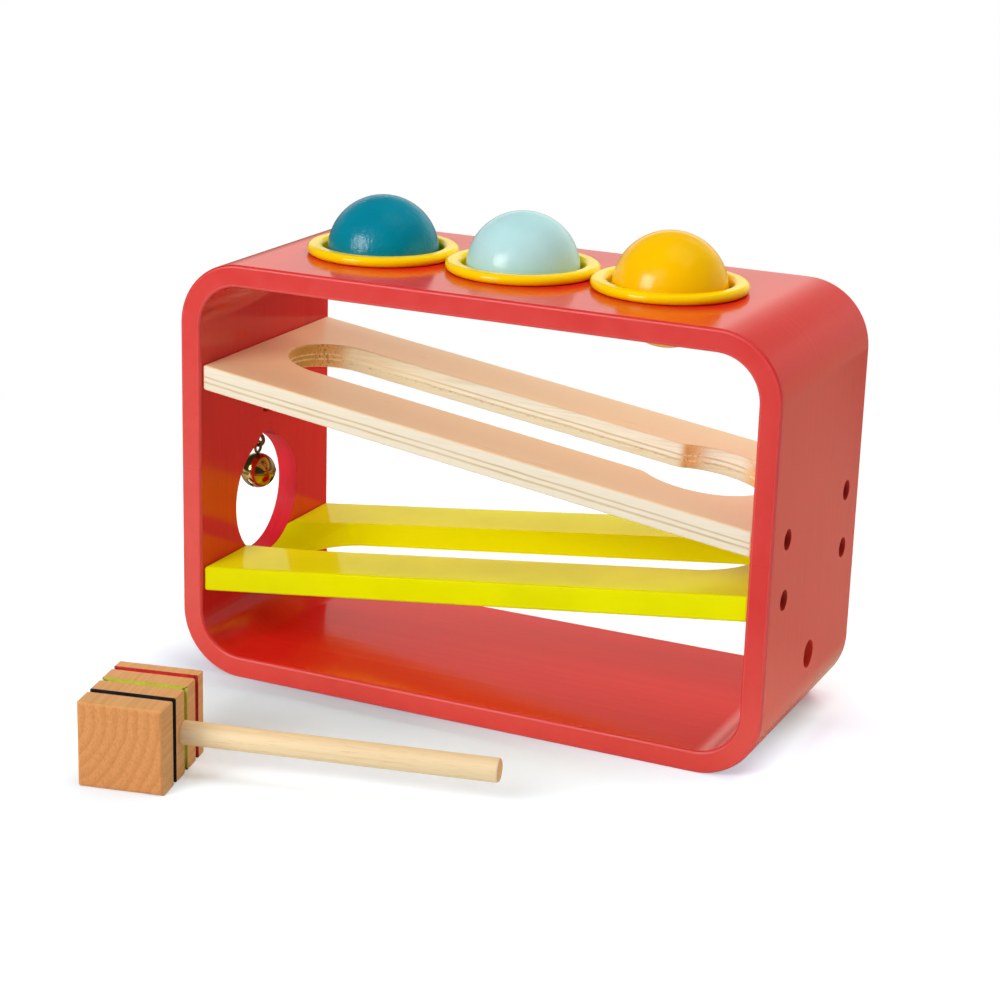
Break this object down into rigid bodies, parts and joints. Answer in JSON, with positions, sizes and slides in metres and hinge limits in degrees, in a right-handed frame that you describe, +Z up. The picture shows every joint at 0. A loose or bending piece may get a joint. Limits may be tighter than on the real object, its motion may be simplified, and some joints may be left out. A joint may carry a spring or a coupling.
{
  "type": "ball pounding toy",
  "caption": "Toy frame of bent plywood whose balls are pounded through soft rings, roll down slotted ramps and ring a bell at the exit hole, with a wooden mallet.",
  "frame": {"origin": "on the floor at the middle of the frame's underside", "axes": "+X from the bell's wall to the wall with the mallet hole, +Y to the back, +Z up"},
  "size_m": [0.2573, 0.2296, 0.1978],
  "materials": {
    "red_lacquer": "gloss red lacquer on bent plywood",
    "pale_wood": "bare turned wood",
    "ring_yellow": "satin soft plastic",
    "bare_plywood": "clear lacquer on plywood",
    "lime_lacquer": "gloss lime lacquer on plywood",
    "dark_screw": "black oxide",
    "plated_steel": "zinc plate",
    "ball_teal": "gloss paint",
    "ball_aqua": "gloss paint",
    "ball_yellow": "gloss paint",
    "bell_brass": "polished sheet",
    "beech": "clear lacquer on beech"
  },
  "bodies": {
    "frame": {"frame_top": "red_lacquer", "frame_base": "red_lacquer", "frame_dowels": "pale_wood", "ring_left": "ring_yellow", "ring_middle": "ring_yellow", "ring_right": "ring_yellow", "upper_ramp": "bare_plywood", "lower_ramp": "lime_lacquer", "upper_ramp_screws": "dark_screw", "lower_ramp_screws": "dark_screw", "bell_eye_bolt": "plated_steel", "bell_nut": "plated_steel"},
    "left_ball": {"ball_left": "ball_teal"},
    "middle_ball": {"ball_middle": "ball_aqua"},
    "right_ball": {"ball_right": "ball_yellow"},
    "bell": {"bell_loop": "bell_brass", "bell_crown": "bell_brass", "bell_cup": "bell_brass"},
    "pellet": {"bell_pellet": "plated_steel"},
    "mallet": {"mallet_head": "beech", "mallet_handle": "pale_wood"}
  },
  "joints": [
    {"name": "left_ball_push", "type": "slide", "parent": "frame", "child": "left_ball", "axis": [0, 0, 1], "range_m": [-0.043, 0.04], "deforming": ["ring_left"]},
    {"name": "middle_ball_push", "type": "slide", "parent": "frame", "child": "middle_ball", "axis": [0, 0, 1], "range_m": [-0.0515, 0.04], "deforming": ["ring_middle"]},
    {"name": "right_ball_push", "type": "slide", "parent": "frame", "child": "right_ball", "axis": [0, 0, 1], "range_m": [-0.059, 0.04], "deforming": ["ring_right"]},
    {"name": "bell_swing", "type": "hinge", "parent": "frame", "child": "bell", "pos_m": [-0.1225, 0, 0.0854], "axis": [0, 1, 0], "range_deg": [-75, 75]},
    {"name": "pellet_roll", "type": "hinge", "parent": "bell", "child": "pellet", "pos_m": [-0.1225, 0, 0.0727], "axis": [0, 1, 0], "range_deg": [-40, 40]},
    {"name": "mallet_lift", "type": "slide", "parent": "frame", "child": "mallet", "axis": [0, 0, 1], "range_m": [0, 0.25]}
  ]
}
